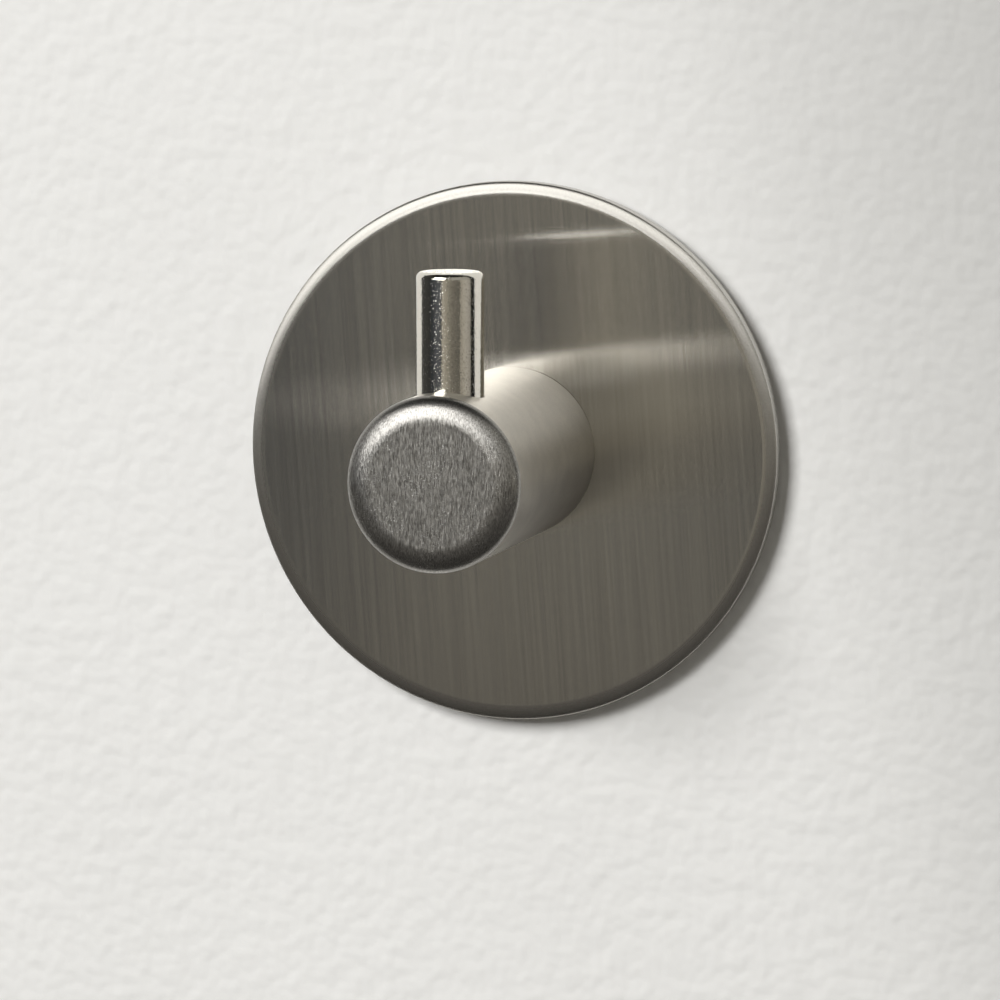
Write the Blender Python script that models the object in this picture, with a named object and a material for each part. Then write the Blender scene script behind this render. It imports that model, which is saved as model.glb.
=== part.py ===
"""Stainless steel wall hook: a round plate, a turned post and a polished pin that stands up from it.

The plate is stuck to the wall by a foam pad. The wall is the plane y = 0 and the hook stands out
towards -Y, with Z up. The origin is the middle of the pad's face on the wall. Sizes are in metres.
"""
import math

import bmesh
import bpy

# Wall plate, a punched and brushed disc whose front edge is rolled further across than down
plate_diameter = 0.0500
plate_thickness = 0.0020
plate_edge_reach = 0.0013
plate_edge_run = 0.00035
plate_back_chamfer = 0.0003

# Adhesive pad, a foam disc that ends inside the plate's edge
pad_thickness = 0.0008
pad_margin = 0.0020

# Post, a turned bar with a broad round on its front edge
post_diameter = 0.0158
post_length = 0.0291
post_front_radius = 0.00185
post_back_chamfer = 0.0003

# Hook pin, a ground rod pressed into the top of the post
pin_diameter = 0.0061
pin_reach = 0.01055
pin_depth = 0.0045
pin_setback = 0.00695
pin_end_radius = 0.0006
pin_foot_chamfer = 0.0004

# Countersunk screw through the plate into the post
screw_diameter = 0.0030
screw_length = 0.0100
head_diameter = 0.0055
head_land = 0.0002
socket_width = 0.0020
socket_depth = 0.0010
tip_chamfer = 0.0004

# Fits
seat_gap = 0.0003
pin_clearance = 0.0001
screw_clearance = 0.0002
screw_end_room = 0.0010
drill_point_angle = math.radians(118)
countersink_angle = math.radians(90)

# Fineness of the round faces
plate_facets = 144
post_facets = 96
pin_facets = 64
screw_facets = 48
edge_steps = 8
weld_distance = 1e-6
sharp_angle = math.radians(35)
wall_share = 0.5

# Places along the way out of the wall
plate_back = pad_thickness + seat_gap
plate_front = plate_back + plate_thickness
post_back = plate_front + seat_gap
post_front = post_back + post_length
pin_out = post_front - pin_setback

plate_radius = plate_diameter / 2
post_radius = post_diameter / 2
pin_radius = pin_diameter / 2
screw_radius = screw_diameter / 2
head_radius = head_diameter / 2
head_height = head_land + (head_radius - screw_radius) / math.tan(countersink_angle / 2)
pin_foot = post_radius - pin_depth


def clear_scene():
    """Removes whatever objects the file holds."""
    for item in list(bpy.data.objects):
        bpy.data.objects.remove(item, do_unlink=True)


def steel(name, colour, roughness, metallic=1.0):
    """A plain finish for one piece."""
    material = bpy.data.materials.new(name)
    material.use_nodes = True
    shader = material.node_tree.nodes["Principled BSDF"]
    shader.inputs["Base Color"].default_value = (*colour, 1.0)
    shader.inputs["Roughness"].default_value = roughness
    shader.inputs["Metallic"].default_value = metallic
    return material


def within(edge, wall):
    """An edge's rounding or chamfer, kept to its share of the wall that it is cut in."""
    return min(edge, wall * wall_share)


def rounded_corner(radius, height, reach, run):
    """Outline points that turn a side at this radius into a face at this height.

    The corner is a quarter of an ellipse: reach is its size across the face, run its size down the side.
    """
    points = []
    for step in range(edge_steps + 1):
        turn = math.pi / 2 * step / edge_steps
        across = radius - reach + reach * math.cos(turn)
        along = height - run + run * math.sin(turn)
        points.append((across, along))
    return points


def turned(name, outline, facets):
    """A solid of revolution about its own Z, from an outline that starts and ends on the axis."""
    shape = bmesh.new()
    corners = [shape.verts.new((across, 0.0, along)) for across, along in outline]
    edges = [shape.edges.new(pair) for pair in zip(corners, corners[1:])]
    bmesh.ops.spin(shape, geom=corners + edges, cent=(0, 0, 0), axis=(0, 0, 1), dvec=(0, 0, 0),
                   angle=2 * math.pi, steps=facets, use_merge=True)
    bmesh.ops.remove_doubles(shape, verts=shape.verts[:], dist=weld_distance)
    bmesh.ops.recalc_face_normals(shape, faces=shape.faces[:])
    mesh = bpy.data.meshes.new(name)
    shape.to_mesh(mesh)
    shape.free()
    mesh.shade_smooth()
    mesh.set_sharp_from_angle(angle=sharp_angle)
    piece = bpy.data.objects.new(name, mesh)
    bpy.context.collection.objects.link(piece)
    return piece


def out_of_wall(piece, start, parent):
    """Lays a turned piece along the way out of the wall, starting this far from it."""
    piece.parent = parent
    piece.location = (0.0, -start, 0.0)
    piece.rotation_euler = (math.pi / 2, 0.0, 0.0)


def cut(piece, cutter):
    """Takes the cutter's shape out of the piece."""
    cutter.hide_render = True
    cutter.display_type = "WIRE"
    hole = piece.modifiers.new(cutter.name, "BOOLEAN")
    hole.operation = "DIFFERENCE"
    hole.solver = "EXACT"
    hole.object = cutter


def adhesive_pad():
    """A plain foam disc, square at its edge as it is punched."""
    radius = plate_radius - pad_margin
    outline = [(0, 0), (radius, 0), (radius, pad_thickness), (0, pad_thickness)]
    return turned("adhesive_pad", outline, plate_facets)


def wall_plate():
    """A disc with a rolled front edge and a broken back edge."""
    reach = within(plate_edge_reach, plate_radius)
    run = within(plate_edge_run, plate_thickness)
    chamfer = within(plate_back_chamfer, plate_thickness)
    outline = [(0, 0), (plate_radius - chamfer, 0), (plate_radius, chamfer)]
    outline += rounded_corner(plate_radius, plate_thickness, reach, run)
    outline += [(0, plate_thickness)]
    return turned("wall_plate", outline, plate_facets)


def post():
    """A bar faced at both ends, rounded in front and chamfered where it stands on the plate."""
    rounding = within(post_front_radius, post_radius)
    chamfer = within(post_back_chamfer, post_radius)
    outline = [(0, 0), (post_radius - chamfer, 0), (post_radius, chamfer)]
    outline += rounded_corner(post_radius, post_length, rounding, rounding)
    outline += [(0, post_length)]
    return turned("post", outline, post_facets)


def hook_pin():
    """A rod with a rounded top edge and a chamfered foot that leads it into its hole."""
    length = pin_depth + pin_reach
    rounding = within(pin_end_radius, pin_radius)
    chamfer = within(pin_foot_chamfer, pin_radius)
    outline = [(0, 0), (pin_radius - chamfer, 0), (pin_radius, chamfer)]
    outline += rounded_corner(pin_radius, length, rounding, rounding)
    outline += [(0, length)]
    return turned("hook_pin", outline, pin_facets)


def pin_hole():
    """The flat-bottomed hole for the pin, open through the top of the post."""
    radius = pin_radius + pin_clearance
    top = pin_depth + pin_reach
    outline = [(0, -seat_gap), (radius, -seat_gap), (radius, top), (0, top)]
    return turned("pin_hole", outline, pin_facets)


def countersunk_screw():
    """The screw's head, shank and tip, with the head's face at height 0."""
    chamfer = within(tip_chamfer, screw_radius)
    outline = [(0, 0), (head_radius, 0), (head_radius, head_land), (screw_radius, head_height)]
    outline += [(screw_radius, screw_length - chamfer), (screw_radius - chamfer, screw_length)]
    outline += [(0, screw_length)]
    return turned("countersunk_screw", outline, screw_facets)


def screw_socket():
    """The hexagon in the screw's head."""
    corner = socket_width / 2 / math.cos(math.pi / 6)
    outline = [(0, -head_land), (corner, -head_land), (corner, socket_depth), (0, socket_depth)]
    return turned("screw_socket", outline, 6)


def screw_hole():
    """The screw's own shape with its clearance, cut through the plate and on into the post."""
    head = head_radius + screw_clearance
    shank = screw_radius + screw_clearance
    end = screw_length + screw_end_room
    point = end + shank / math.tan(drill_point_angle / 2)
    outline = [(0, -seat_gap), (head, -seat_gap), (head, head_land), (shank, head_height)]
    outline += [(shank, end), (0, point)]
    return turned("screw_hole", outline, screw_facets)


def assemble():
    """Makes the pieces, sets them on the wall in order and cuts the holes."""
    clear_scene()
    hook = bpy.data.objects.new("wall_hook", None)
    bpy.context.collection.objects.link(hook)

    pad = adhesive_pad()
    pad.data.materials.append(steel("grey_foam", (0.30, 0.30, 0.29), 0.90, metallic=0.0))
    out_of_wall(pad, 0.0, hook)

    plate = wall_plate()
    plate.data.materials.append(steel("brushed_plate_steel", (0.50, 0.49, 0.46), 0.32))
    out_of_wall(plate, plate_back, hook)

    bar = post()
    bar.data.materials.append(steel("satin_post_steel", (0.58, 0.56, 0.52), 0.30))
    out_of_wall(bar, post_back, hook)

    screw = countersunk_screw()
    screw.data.materials.append(steel("plain_screw_steel", (0.55, 0.55, 0.54), 0.35))
    out_of_wall(screw, plate_back, hook)

    pin = hook_pin()
    pin.data.materials.append(steel("polished_pin_steel", (0.66, 0.64, 0.60), 0.06))
    pin.parent = hook
    pin.location = (0.0, -pin_out, pin_foot)

    socket = screw_socket()
    out_of_wall(socket, plate_back, hook)
    cut(screw, socket)

    screw_cutter = screw_hole()
    out_of_wall(screw_cutter, plate_back, hook)
    cut(plate, screw_cutter)
    cut(bar, screw_cutter)

    pin_cutter = pin_hole()
    pin_cutter.parent = hook
    pin_cutter.location = (0.0, -pin_out, pin_foot)
    cut(bar, pin_cutter)


assemble()
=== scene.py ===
import math

import bmesh
import bpy
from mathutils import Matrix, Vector


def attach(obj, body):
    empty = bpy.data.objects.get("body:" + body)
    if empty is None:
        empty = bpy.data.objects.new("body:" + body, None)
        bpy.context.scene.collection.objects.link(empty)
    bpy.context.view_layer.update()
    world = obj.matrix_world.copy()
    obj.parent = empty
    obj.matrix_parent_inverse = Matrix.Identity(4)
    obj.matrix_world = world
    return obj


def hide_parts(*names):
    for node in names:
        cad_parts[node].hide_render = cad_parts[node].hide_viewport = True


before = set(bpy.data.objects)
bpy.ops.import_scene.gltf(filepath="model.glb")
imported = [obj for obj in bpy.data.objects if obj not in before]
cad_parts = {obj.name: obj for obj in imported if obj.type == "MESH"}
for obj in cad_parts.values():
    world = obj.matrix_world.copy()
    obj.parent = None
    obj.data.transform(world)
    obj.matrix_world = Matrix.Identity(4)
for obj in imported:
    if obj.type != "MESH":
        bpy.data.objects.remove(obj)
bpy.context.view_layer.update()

mm = 0.001

# Adhesive pad: the foam disc that holds the hook on the wall. It is punched from double-sided foam
# sheet, 2 mm smaller all round than the plate, so that only its edge shows in the gap behind the plate.


def add(tree, kind, feeds=None, **settings):
    """Adds a node, sets it up and feeds its inputs with values or with other nodes' outputs."""
    item = tree.nodes.new(kind)
    for name, value in settings.items():
        setattr(item, name, value)
    for name, value in (feeds or {}).items():
        if isinstance(value, bpy.types.NodeSocket):
            tree.links.new(value, item.inputs[name])
        else:
            item.inputs[name].default_value = value
    return item


def finish(name):
    """A new material, with its node tree and its main shader."""
    material = bpy.data.materials.new(name)
    material.use_nodes = True
    return material, material.node_tree, material.node_tree.nodes["Principled BSDF"]


def noise(tree, stretch, detail=3.0, sharpness=0.6, turn=0.0):
    """Noise whose size along each axis is one over the stretch, in metres, turned in the wall's plane."""
    place = add(tree, "ShaderNodeTexCoord").outputs["Object"]
    turned = add(tree, "ShaderNodeMapping", {"Vector": place, "Rotation": (0.0, turn, 0.0)})
    scaled = add(tree, "ShaderNodeMapping", {"Vector": turned.outputs["Vector"], "Scale": stretch})
    return add(tree, "ShaderNodeTexNoise", {"Vector": scaled.outputs["Vector"], "Scale": 1.0,
                                            "Detail": detail, "Roughness": sharpness})


def grain(tree, stretch, **settings):
    """The strength of that noise, from 0 to 1."""
    return noise(tree, stretch, **settings).outputs["Fac"]


def spread(tree, value, low, high, to_low=0.0, to_high=1.0):
    """Stretches the part of a value between low and high over a new range."""
    item = add(tree, "ShaderNodeMapRange", {"Value": value, "From Min": low, "From Max": high,
                                            "To Min": to_low, "To Max": to_high})
    return item.outputs["Result"]


def sums(tree, operation, first, second):
    """One step of arithmetic between two values."""
    item = add(tree, "ShaderNodeMath", {0: first, 1: second}, operation=operation)
    return item.outputs["Value"]


def tones(tree, amount, *stops):
    """A colour that runs through these (place, colour) stops."""
    ramp = add(tree, "ShaderNodeValToRGB", {"Fac": amount})
    points = ramp.color_ramp.elements
    while len(points) < len(stops):
        points.new(0.5)
    for point, (place, colour) in zip(points, stops):
        point.position = place
        point.color = (*colour, 1.0)
    return ramp.outputs["Color"]


foam, tree, shader = finish("closed_cell_foam")
cells = grain(tree, (5200, 5200, 5200), detail=2.0)
tree.links.new(tones(tree, cells, (0.3, (0.19, 0.19, 0.18)), (0.7, (0.33, 0.33, 0.32))),
               shader.inputs["Base Color"])
tree.links.new(spread(tree, cells, 0.3, 0.7, 0.8, 0.95), shader.inputs["Roughness"])
bump = add(tree, "ShaderNodeBump", {"Height": cells, "Strength": 0.6, "Distance": 0.05 * mm})
tree.links.new(bump.outputs["Normal"], shader.inputs["Normal"])

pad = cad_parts["adhesive_pad"]
for surface in pad.material_slots:
    surface.material = foam

# Wall plate: a disc punched from 2 mm stainless sheet, brushed up and down in long strokes, with its
# front edge rolled over smoothly. The pad holds it to the wall and the screw's head sits in its back.


def corner(radius, height, reach, run, steps=20):
    """Outline points that roll a side at this radius over into a face at this height."""
    points = []
    for step in range(steps + 1):
        turn = math.pi / 2 * step / steps
        points.append((radius - reach + reach * math.cos(turn), height - run + run * math.sin(turn)))
    return points


crease = math.radians(30)


def lathe(name, outline, sides, closed=False):
    """Turns an outline of (radius, height) points about local Z into a mesh that is smooth but at creases."""
    form = bmesh.new()
    rings = []
    for radius, height in outline:
        if radius == 0:
            rings.append([form.verts.new((0, 0, height))])
            continue
        ring = []
        for side in range(sides):
            turn = 2 * math.pi * side / sides
            ring.append(form.verts.new((radius * math.cos(turn), radius * math.sin(turn), height)))
        rings.append(ring)
    pairs = list(zip(rings, rings[1:]))
    if closed:
        pairs.append((rings[-1], rings[0]))
    for low, high in pairs:
        for side in range(sides):
            after = (side + 1) % sides
            around = [low[side % len(low)], low[after % len(low)],
                      high[after % len(high)], high[side % len(high)]]
            form.faces.new(list(dict.fromkeys(around)))
    bmesh.ops.recalc_face_normals(form, faces=form.faces[:])
    mesh = bpy.data.meshes.new(name)
    form.to_mesh(mesh)
    form.free()
    mesh.shade_smooth()
    mesh.set_sharp_from_angle(angle=crease)
    piece = bpy.data.objects.new(name, mesh)
    bpy.context.collection.objects.link(piece)
    return piece


def out_of_wall(piece, start):
    """Turns a piece's mesh to point out of the wall, from this distance."""
    for point in piece.data.vertices:
        x, y, z = point.co
        point.co = (x, -(start + z), y)
    piece.data.update()


def rings_to(inner, outer, height, count, hold=0.03 * mm):
    """Points across a flat face between two radii, with one close to the outer edge."""
    points = [(inner + (outer - hold - inner) * step / count, height) for step in range(count)]
    return points + [(outer - hold, height)]


plate_radius = 25.0 * mm
plate_thickness = 2.0 * mm
plate_back = 1.1 * mm
plate_roll_reach = 1.3 * mm
plate_roll_run = 0.35 * mm
plate_back_chamfer = 0.3 * mm
plate_sides = 384
screw_head_room = (2.95 * mm, 0.2 * mm)
screw_shank_room = (1.7 * mm, 1.45 * mm)

outline = [(screw_head_room[0], 0), screw_head_room, screw_shank_room,
           (screw_shank_room[0], plate_thickness)]
outline += rings_to(screw_shank_room[0] + 0.1 * mm, plate_radius - plate_roll_reach, plate_thickness, 12)
outline += corner(plate_radius, plate_thickness, plate_roll_reach, plate_roll_run)[::-1]
outline += [(plate_radius, plate_back_chamfer + 0.02 * mm), (plate_radius, plate_back_chamfer)]
outline += [(plate_radius - plate_back_chamfer, 0)]
plate = lathe("brushed_wall_plate", outline, plate_sides, closed=True)
out_of_wall(plate, plate_back)


def grain_colour(tree, stretch, **settings):
    """The same noise in three unlike channels."""
    return noise(tree, stretch, **settings).outputs["Color"]


def scored(tree, tilts, colour):
    """The surface's normal, tilted along each axis by noise times these amounts."""
    normal = add(tree, "ShaderNodeNewGeometry").outputs["Normal"]
    centred = add(tree, "ShaderNodeVectorMath", {0: colour, 1: (0.5, 0.5, 0.5)}, operation="SUBTRACT")
    scaled = add(tree, "ShaderNodeVectorMath", {0: centred.outputs[0], 1: tilts}, operation="MULTIPLY")
    joined = add(tree, "ShaderNodeVectorMath", {0: normal, 1: scaled.outputs[0]}, operation="ADD")
    return add(tree, "ShaderNodeVectorMath", {0: joined.outputs[0]}, operation="NORMALIZE").outputs[0]


def brushed_across(tree, shader, turn=0.0):
    """Turns the shader's long blur across the up and down brush strokes."""
    facing = add(tree, "ShaderNodeNewGeometry").outputs["Normal"]
    along = (-math.sin(turn), 0.0, math.cos(turn))
    across = add(tree, "ShaderNodeVectorMath", {0: facing, 1: along}, operation="CROSS_PRODUCT")
    tree.links.new(across.outputs["Vector"], shader.inputs["Tangent"])


def spot(tree):
    """The place on the piece, with an output for each axis."""
    place = add(tree, "ShaderNodeTexCoord").outputs["Object"]
    return add(tree, "ShaderNodeSeparateXYZ", {"Vector": place}).outputs


def hairlines(tree, width, reach):
    """Sideways tilts from brush lines too fine to see: mostly narrow, some very wide."""
    place = add(tree, "ShaderNodeTexCoord").outputs["Object"]
    chance = add(tree, "ShaderNodeTexWhiteNoise", {"Vector": place}).outputs["Value"]
    angle = sums(tree, "MULTIPLY", sums(tree, "SUBTRACT", chance, 0.5), reach)
    return sums(tree, "MULTIPLY", sums(tree, "TANGENT", angle, 0.0), width)


brush_turn = math.radians(4.2)
hairline_tilt, hairline_reach = 0.075, 2.95
left_bow, right_bow = -165.0, -115.0

brushed, tree, shader = finish("brushed_plate_steel")
strokes = grain(tree, (3000, 3000, 35), sharpness=0.55, turn=brush_turn)
tree.links.new(tones(tree, strokes, (0.30, (0.582, 0.562, 0.521)), (0.70, (0.672, 0.650, 0.604))),
               shader.inputs["Base Color"])
tree.links.new(spread(tree, strokes, 0.3, 0.7, 0.13, 0.15), shader.inputs["Roughness"])
shader.inputs["Metallic"].default_value = 1.0
shader.inputs["Anisotropic"].default_value = 1.0
brushed_across(tree, shader, brush_turn)
place = spot(tree)
bow = spread(tree, place["X"], -3.0 * mm, 3.0 * mm, left_bow, right_bow)
lean = sums(tree, "MULTIPLY", sums(tree, "POWER", place["X"], 2.0), bow)
across = sums(tree, "ADD", hairlines(tree, hairline_tilt, hairline_reach), lean)
sideways = add(tree, "ShaderNodeCombineXYZ", {"X": sums(tree, "MULTIPLY", across, math.cos(brush_turn)),
                                              "Z": sums(tree, "MULTIPLY", across, math.sin(brush_turn))})
lines = grain_colour(tree, (3600, 3600, 45), detail=2.0, turn=brush_turn)
streaks = scored(tree, (0.10, 0.0, 0.0), lines)
brushing = add(tree, "ShaderNodeVectorMath", {0: streaks, 1: sideways.outputs["Vector"]}, operation="ADD")
tilted = add(tree, "ShaderNodeVectorMath", {0: brushing.outputs[0]}, operation="NORMALIZE")
tree.links.new(tilted.outputs[0], shader.inputs["Normal"])


def times(tree, colour, amount):
    """A colour or a tilt times a single amount."""
    return add(tree, "ShaderNodeVectorMath", {0: colour, "Scale": amount}, operation="SCALE").outputs[0]


plate_front = plate_back + plate_thickness
roll_blend = 0.03 * mm
roll_end = 0.2 * mm, 0.4 * mm

rolled, tree, shader = finish("satin_plate_edge")
specks = grain(tree, (7000, 7000, 7000))
place = spot(tree)
# Painted shade: the rolled edge is a darker copy of the plate's metal, so that its highlight is dimmer. At
# the join with the flat face it is lifted back to the plate's tone.
metal = tones(tree, specks, (0.3, (0.47, 0.453, 0.418)), (0.7, (0.55, 0.531, 0.492)))
roll_painted_darker = spread(tree, place["Y"], -plate_front, roll_blend - plate_front, 1.18, 1.0)
metal = times(tree, metal, roll_painted_darker)
tree.links.new(metal, shader.inputs["Base Color"])
rougher = spread(tree, place["Y"], -plate_front, roll_blend - plate_front, 0.50, 1.0)
smoother = spread(tree, place["Y"], roll_end[0] - plate_front, roll_end[1] - plate_front, 1.0, 0.4)
rough = sums(tree, "MULTIPLY", rougher, smoother)
rough = sums(tree, "MULTIPLY", spread(tree, specks, 0.3, 0.7, 0.38, 0.42), rough)
tree.links.new(rough, shader.inputs["Roughness"])
shader.inputs["Metallic"].default_value = 1.0
shader.inputs["Anisotropic"].default_value = 0.88
brushed_across(tree, shader, brush_turn)

plate.data.materials.append(brushed)
plate.data.materials.append(rolled)
for polygon in plate.data.polygons:
    flat = math.hypot(polygon.center.x, polygon.center.z) < plate_radius - plate_roll_reach
    polygon.material_index = int(not flat)

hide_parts("wall_plate")
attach(plate, "root")

# Countersunk screw: a plain M3 steel screw that ties the post to the plate from behind. It is turned
# and plated, sits in the plate's back under the pad, and doesn't show once the hook is up.

plated, tree, shader = finish("plated_screw_steel")
marks = grain(tree, (9000, 2500, 9000))
tree.links.new(tones(tree, marks, (0.3, (0.46, 0.46, 0.45)), (0.7, (0.60, 0.60, 0.58))),
               shader.inputs["Base Color"])
tree.links.new(spread(tree, marks, 0.3, 0.7, 0.28, 0.42), shader.inputs["Roughness"])
shader.inputs["Metallic"].default_value = 1.0

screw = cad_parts["countersunk_screw"]
for surface in screw.material_slots:
    surface.material = plated

# Post: a 15.8 mm stainless bar, turned to length and blasted to a satin on its side. Its front edge is
# rolled over, its front face is brushed up and down, and its top is drilled for the pin.

post_radius = 7.9 * mm
post_length = 29.39 * mm
post_back = 3.11 * mm
post_roll_reach = 2.3 * mm
post_roll_run = 1.3 * mm
post_back_chamfer = 0.08 * mm
post_hole_radius = 1.7 * mm
post_hole_depth = 8.97 * mm
post_hole_point = 9.99 * mm
post_sides = 288
side_rings = 90
pin_radius = 3.05 * mm
pin_out = 25.55 * mm
pin_foot = 3.4 * mm
pin_hole_room = 0.04 * mm
drill_radius = pin_radius + pin_hole_room
drill_height = 8 * mm
drill_sides = 128

outline = [(0, post_hole_point), (post_hole_radius, post_hole_depth), (post_hole_radius, 0)]
outline += rings_to(post_hole_radius + 0.1 * mm, post_radius - post_back_chamfer, 0, 4)
outline += [(post_radius - post_back_chamfer, 0), (post_radius, post_back_chamfer)]
side_end = post_length - post_roll_run
for step in range(side_rings):
    share = (step + 0.5) / side_rings
    outline.append((post_radius, post_back_chamfer + (side_end - post_back_chamfer) * share))
outline += corner(post_radius, post_length, post_roll_reach, post_roll_run, steps=28)
outline += rings_to(0.4 * mm, post_radius - post_roll_reach, post_length, 10)[::-1]
outline += [(0, post_length)]
post = lathe("turned_post", outline, post_sides)
out_of_wall(post, post_back)

outline = [(0, 0), (drill_radius, 0), (drill_radius, drill_height), (0, drill_height)]
drill = lathe("pin_drill", outline, drill_sides)
drill.location = (0, -pin_out, pin_foot)
bore = post.modifiers.new("pin_hole", "BOOLEAN")
bore.operation = "DIFFERENCE"
bore.solver = "EXACT"
bore.object = drill
bpy.context.view_layer.update()
drilled = bpy.data.meshes.new_from_object(post.evaluated_get(bpy.context.evaluated_depsgraph_get()))
post.modifiers.remove(bore)
post.data = drilled
bpy.data.objects.remove(drill, do_unlink=True)
post.data.shade_smooth()
post.data.set_sharp_from_angle(angle=crease)

satin, tree, shader = finish("satin_post_steel")
blast = grain(tree, (9000, 9000, 9000), detail=4.0, sharpness=0.65)
clouds = grain(tree, (420, 420, 420))
mixed = sums(tree, "ADD", sums(tree, "MULTIPLY", blast, 0.65), sums(tree, "MULTIPLY", clouds, 0.35))
tree.links.new(tones(tree, mixed, (0.40, (0.575, 0.550, 0.502)), (0.60, (0.700, 0.671, 0.613))),
               shader.inputs["Base Color"])
tree.links.new(spread(tree, mixed, 0.35, 0.65, 0.28, 0.34), shader.inputs["Roughness"])
shader.inputs["Metallic"].default_value = 1.0
shader.inputs["Anisotropic"].default_value = 0.6
along = add(tree, "ShaderNodeCombineXYZ", {"Y": 1.0})
tree.links.new(along.outputs["Vector"], shader.inputs["Tangent"])
frosting = grain_colour(tree, (11000, 11000, 11000), detail=2.0)
tree.links.new(scored(tree, (0.40, 0.40, 0.40), frosting), shader.inputs["Normal"])


def blend(tree, share, first, second):
    """A mix of two colours."""
    return add(tree, "ShaderNodeMix", {"Factor": share, 6: first, 7: second}, data_type="RGBA").outputs[2]


post_front = post_back + post_length
face_blend = 0.2 * mm

face, tree, shader = finish("brushed_post_face")
strokes = grain(tree, (15000, 15000, 1600), sharpness=0.7)
metal = tones(tree, strokes, (0.37, (0.22, 0.213, 0.199)), (0.63, (0.535, 0.518, 0.488)))
place = spot(tree)
# Painted light and shade: the flat front face is painted a little lighter. Over the first 0.2 mm back, the
# rolled edge turns a little darker, so that the edge's highlight is dimmer.
roll_painted_darker = spread(tree, place["Y"], -post_front, face_blend - post_front, 1.06, 0.94)
metal = times(tree, metal, roll_painted_darker)
dots = spread(tree, grain(tree, (9000, 9000, 9000), detail=2.0), 0.60, 0.68)
patches = spread(tree, grain(tree, (330, 330, 330), detail=1.0), 0.47, 0.62)
nicks = sums(tree, "MULTIPLY", dots, patches)
tree.links.new(blend(tree, nicks, metal, (0.95, 0.94, 0.91, 1.0)), shader.inputs["Base Color"])
tree.links.new(spread(tree, strokes, 0.35, 0.65, 0.31, 0.38), shader.inputs["Roughness"])
shader.inputs["Metallic"].default_value = 1.0
shader.inputs["Anisotropic"].default_value = 0.6
brushed_across(tree, shader)
lines = grain_colour(tree, (13000, 13000, 2600), sharpness=0.7)
tree.links.new(scored(tree, (0.60, 0.0, 0.30), lines), shader.inputs["Normal"])

post.data.materials.clear()
post.data.materials.append(satin)
post.data.materials.append(face)
for polygon in post.data.polygons:
    height = -polygon.center.y - post_back
    polygon.material_index = int(height > side_end)

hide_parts("post")
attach(post, "root")

# Hook pin: a 6.1 mm stainless rod, ground and polished, with a softened top edge. It is pressed
# 4.5 mm into the top of the post, and its polish carries small handling pits and scuffs.

pin_length = 15.05 * mm
pin_edge = 0.6 * mm
pin_foot_chamfer = 0.4 * mm
pin_sides = 256
pin_rings = 30

outline = [(0, 0), (pin_radius - pin_foot_chamfer, 0), (pin_radius, pin_foot_chamfer)]
outline += [(pin_radius, pin_foot_chamfer + (pin_length - pin_edge - pin_foot_chamfer) * step / pin_rings)
            for step in range(1, pin_rings)]
outline += corner(pin_radius, pin_length, pin_edge, pin_edge)
outline += rings_to(0.3 * mm, pin_radius - pin_edge, pin_length, 6)[::-1]
outline += [(0, pin_length)]
pin = lathe("polished_pin", outline, pin_sides)
for point in pin.data.vertices:
    point.co += Vector((0, -pin_out, pin_foot))

pit_depth = 11.0
polish, tree, shader = finish("polished_pin_steel")
dust = grain(tree, (900, 900, 900))
pits = grain_colour(tree, (10500, 10500, 10500), detail=2.0)
tree.links.new(tones(tree, dust, (0.3, (0.765, 0.735, 0.665)), (0.7, (0.825, 0.795, 0.725))),
               shader.inputs["Base Color"])
tree.links.new(spread(tree, dust, 0.3, 0.7, 0.02, 0.045), shader.inputs["Roughness"])
shader.inputs["Metallic"].default_value = 1.0
centred = add(tree, "ShaderNodeVectorMath", {0: pits, 1: (0.5, 0.5, 0.5)}, operation="SUBTRACT").outputs[0]
depth = add(tree, "ShaderNodeVectorMath", {0: centred, 1: centred}, operation="DOT_PRODUCT").outputs["Value"]
depth = sums(tree, "MULTIPLY", depth, pit_depth)
dents = times(tree, centred, depth)
facing = add(tree, "ShaderNodeNewGeometry").outputs["Normal"]
dented = add(tree, "ShaderNodeVectorMath", {0: facing, 1: dents}, operation="ADD").outputs[0]
dented = add(tree, "ShaderNodeVectorMath", {0: dented}, operation="NORMALIZE").outputs[0]
tree.links.new(dented, shader.inputs["Normal"])
pin.data.materials.append(polish)

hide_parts("hook_pin")
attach(pin, "root")

# Stage: a pale plaster board stands for the wall, in a dim room that the steel mirrors. A large softbox
# high on the left lights the steel, and a smaller one near its middle lights the board. The board shows
# only from its front, so that the hook's back can be seen too.


def sheet(name, corners, material):
    """A flat four-cornered sheet that belongs to the stage."""
    mesh = bpy.data.meshes.new(name)
    mesh.from_pydata(corners, [], [(0, 1, 2, 3)])
    mesh.materials.append(material)
    piece = bpy.data.objects.new(name, mesh)
    bpy.context.collection.objects.link(piece)
    return piece


board_y = -0.1 * mm
board_left, board_right, board_low, board_high = -0.23, 0.099, -0.30, 0.11
# Where the painted shade on the board starts and ends, measured along a line that slants with height.
shade_slant = 0.287
shade_start, shade_end = 15 * mm, 65 * mm

plaster, tree, shader = finish("pale_plaster")
lumps = grain(tree, (520, 520, 520), detail=1.0, sharpness=0.5)
drift = grain(tree, (30, 30, 30), detail=1.0)
place = spot(tree)
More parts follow.
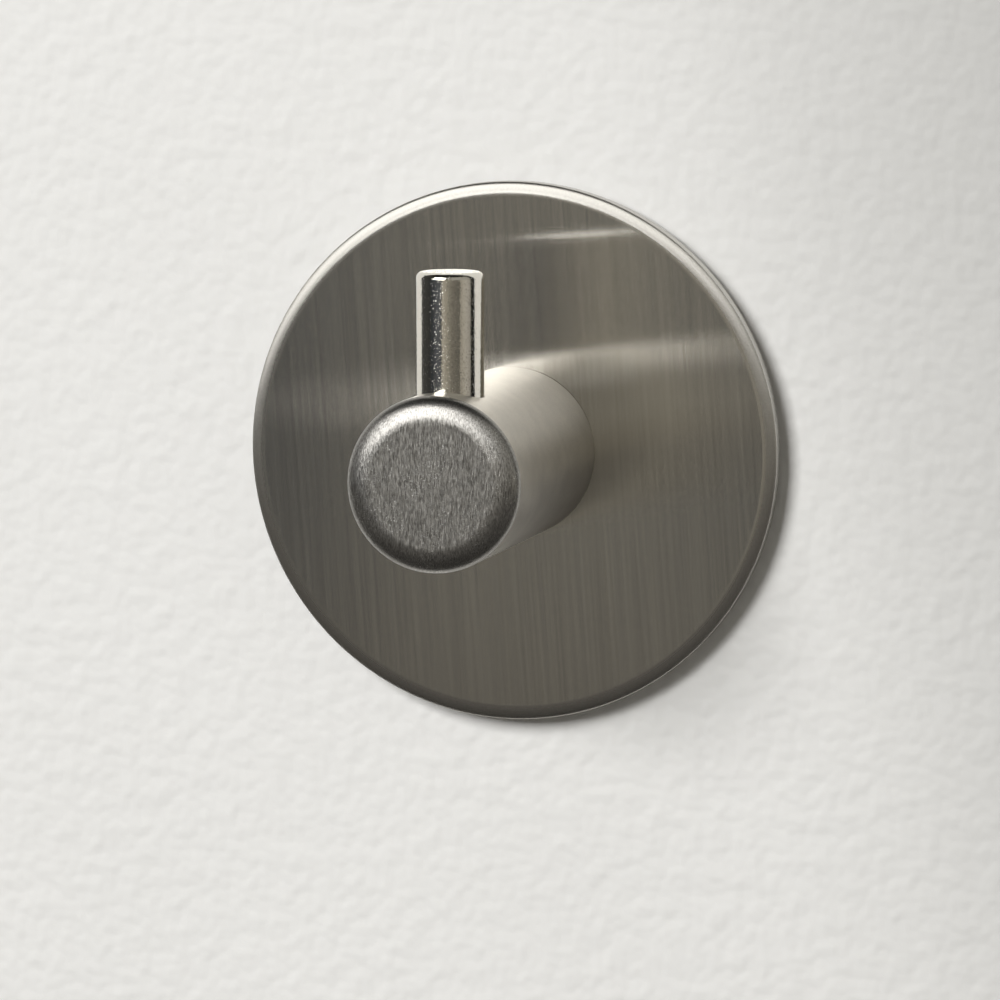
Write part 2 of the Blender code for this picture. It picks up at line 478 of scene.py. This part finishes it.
# Painted shade: seen from the camera, the board darkens towards the right across a band that slants with
# height. Rays from the steel see it unshaded there.
aside = sums(tree, "ADD", place["X"], sums(tree, "MULTIPLY", place["Z"], shade_slant))
painted_shade = tones(tree, spread(tree, aside, shade_start, shade_end),
              (0.0, (1.0, 1.0, 1.0)), (0.20, (0.955, 0.955, 0.954)), (0.43, (0.86, 0.86, 0.858)),
              (0.66, (0.795, 0.795, 0.792)), (1.0, (0.715, 0.715, 0.711)))
seen = add(tree, "ShaderNodeLightPath").outputs["Is Camera Ray"]
painted_shade = blend(tree, seen, (1.0, 1.0, 1.0, 1.0), painted_shade)
# Painted light: every ray sees the board a little lighter towards the bottom and darker towards the top.
height = spread(tree, place["Z"], -50 * mm, 42 * mm, 1.05, 0.995)
painted_shade = times(tree, painted_shade, height)
paint_and_painted_shade = tones(tree, drift, (0.3, (0.83, 0.825, 0.807)), (0.7, (0.85, 0.845, 0.827)))
# The plaster's paint tone times the painted shade.
paint_and_painted_shade = add(tree, "ShaderNodeVectorMath", {0: paint_and_painted_shade, 1: painted_shade}, operation="MULTIPLY").outputs[0]
tree.links.new(paint_and_painted_shade, shader.inputs["Base Color"])
tree.links.new(spread(tree, lumps, 0.3, 0.7, 0.75, 0.9), shader.inputs["Roughness"])
shader.inputs["Specular IOR Level"].default_value = 0.2
bump = add(tree, "ShaderNodeBump", {"Height": lumps, "Strength": 1.0, "Distance": 0.26 * mm})
tree.links.new(bump.outputs["Normal"], shader.inputs["Normal"])
behind = add(tree, "ShaderNodeNewGeometry").outputs["Backfacing"]
clear = add(tree, "ShaderNodeBsdfTransparent")
one_sided = add(tree, "ShaderNodeMixShader", {0: behind, 1: shader.outputs[0], 2: clear.outputs[0]})
tree.links.new(one_sided.outputs[0], tree.nodes["Material Output"].inputs["Surface"])
sheet("plaster_board", [(board_left, board_y, board_low), (board_right, board_y, board_low),
                        (board_right, board_y, board_high), (board_left, board_y, board_high)], plaster)

room_radius = 2.0
room_reach = math.radians(115)
room_rings, room_sides = 24, 64


def by_angle(tree, angle, *stops):
    """A colour that runs through (degrees, colour) stops along an angle."""
    share = spread(tree, angle, -math.pi, math.pi)
    return tones(tree, share, *[((degrees + 180.0) / 360.0, colour) for degrees, colour in stops])


room, tree, shader = finish("studio_room")
tree.nodes.remove(shader)
toward = add(tree, "ShaderNodeVectorMath", {0: add(tree, "ShaderNodeTexCoord").outputs["Object"]},
             operation="NORMALIZE")
parts = add(tree, "ShaderNodeSeparateXYZ", {"Vector": toward.outputs["Vector"]})
bearing = sums(tree, "ARCTAN2", parts.outputs["X"], sums(tree, "MULTIPLY", parts.outputs["Y"], -1.0))
rise = sums(tree, "ARCSINE", parts.outputs["Z"], 0.0)
low_walls = by_angle(
    tree, bearing, (-97, (0.062, 0.062, 0.060)), (-56, (0.031, 0.031, 0.030)), (-54, (0.035, 0.038, 0.042)),
    (-43, (0.042, 0.046, 0.052)), (-27, (0.095, 0.100, 0.110)), (-15, (0.072, 0.076, 0.082)),
    (-12, (0.39, 0.365, 0.305)), (-9, (0.43, 0.403, 0.338)), (-2, (0.33, 0.308, 0.258)),
    (8, (0.26, 0.243, 0.203)), (21, (0.175, 0.163, 0.138)),
    (46.5, (0.115, 0.107, 0.092)), (48.5, (0.29, 0.271, 0.230)), (61, (0.385, 0.362, 0.312)),
    (72, (0.39, 0.37, 0.33)), (86.5, (0.285, 0.27, 0.24)), (88.5, (0.012, 0.012, 0.012)))
high_walls = by_angle(
    tree, bearing, (-97, (0.062, 0.062, 0.060)), (-56, (0.031, 0.031, 0.030)), (2, (0.031, 0.031, 0.030)),
    (4, (0.22, 0.21, 0.19)), (24, (0.34, 0.33, 0.30)), (84, (0.34, 0.33, 0.30)), (90, (0.02, 0.02, 0.02)))
floor = by_angle(
    tree, rise, (-50, (0.065, 0.062, 0.058)), (-35, (0.090, 0.086, 0.080)), (-22, (0.115, 0.109, 0.101)),
    (-9, (0.120, 0.113, 0.104)))
ceiling = spread(tree, rise, math.radians(50), math.radians(52))
above = blend(tree, ceiling, high_walls, (0.02, 0.02, 0.02, 1.0))
slope = by_angle(tree, rise, (-9, (0.65, 0.65, 0.65)), (-6.5, (0.86, 0.86, 0.86)), (-4, (1.0, 1.0, 1.0)))
low_walls = add(tree, "ShaderNodeVectorMath", {0: low_walls, 1: slope}, operation="MULTIPLY").outputs[0]
low_walls = times(tree, low_walls, 1.1)
middle = blend(tree, spread(tree, rise, math.radians(4), math.radians(6)), low_walls, above)
total = blend(tree, spread(tree, rise, math.radians(-10), math.radians(-8)), floor, middle)
glow = add(tree, "ShaderNodeEmission", {"Color": total, "Strength": 1.0})
tree.links.new(glow.outputs[0], tree.nodes["Material Output"].inputs["Surface"])

turns = [room_reach * step / room_rings for step in range(1, room_rings + 1)]
outline = [(0, room_radius)]
outline += [(room_radius * math.sin(turn), room_radius * math.cos(turn)) for turn in turns]
dome = lathe("studio_room", outline, room_sides)
out_of_wall(dome, 0)
dome.data.materials.append(room)
dome.visible_camera = False
dome.visible_shadow = False

for name, bearing, lift, width, tall, brightness, in_gloss in (
        ("softbox", -22.0, 22.6, 0.66, 0.645, 4.85, True),
        ("softbox_on_wall", -20.5, 22.5, 0.40, 0.40, 18.75, False)):
    softbox = bpy.data.lights.new(name, "AREA")
    softbox.shape = "RECTANGLE"
    softbox.size, softbox.size_y = width, tall
    softbox.color = (1.0, 0.998, 0.99)
    softbox.energy = brightness * math.pi * width * tall
    key = bpy.data.objects.new(name, softbox)
    side, up = math.radians(bearing), math.radians(lift)
    key.location = (math.sin(side) * math.cos(up), -math.cos(side) * math.cos(up), math.sin(up))
    key.rotation_euler = key.location.to_track_quat("Z", "Y").to_euler()
    key.visible_glossy = in_gloss
    key.visible_diffuse = not in_gloss
    bpy.context.collection.objects.link(key)

pale = bpy.data.worlds.new("pale_surround")
pale.use_nodes = True
pale.node_tree.nodes["Background"].inputs["Color"].default_value = (0.80, 0.79, 0.77, 1.0)
bpy.context.scene.world = pale

# Camera: a long lens, a little to the right of the hook and a little above it.

lens = bpy.data.cameras.new("long_lens")
lens.lens = 233.293
lens.sensor_width = 36.0
lens.clip_start = 0.01
lens.clip_end = 20.0
camera = bpy.data.objects.new("camera", lens)
bpy.context.collection.objects.link(camera)
camera_bearing, camera_rise = math.radians(14.142), math.radians(6.527)
camera_distance = 0.600
aim = Vector((-1.0798, -3.1, -4.523)) * mm
camera.location = aim + camera_distance * Vector((math.sin(camera_bearing) * math.cos(camera_rise),
                                                  -math.cos(camera_bearing) * math.cos(camera_rise),
                                                  math.sin(camera_rise)))
camera.rotation_euler = (math.pi / 2 - camera_rise, 0.0, camera_bearing)
bpy.context.scene.camera = camera
bpy.context.scene.view_settings.view_transform = "Standard"
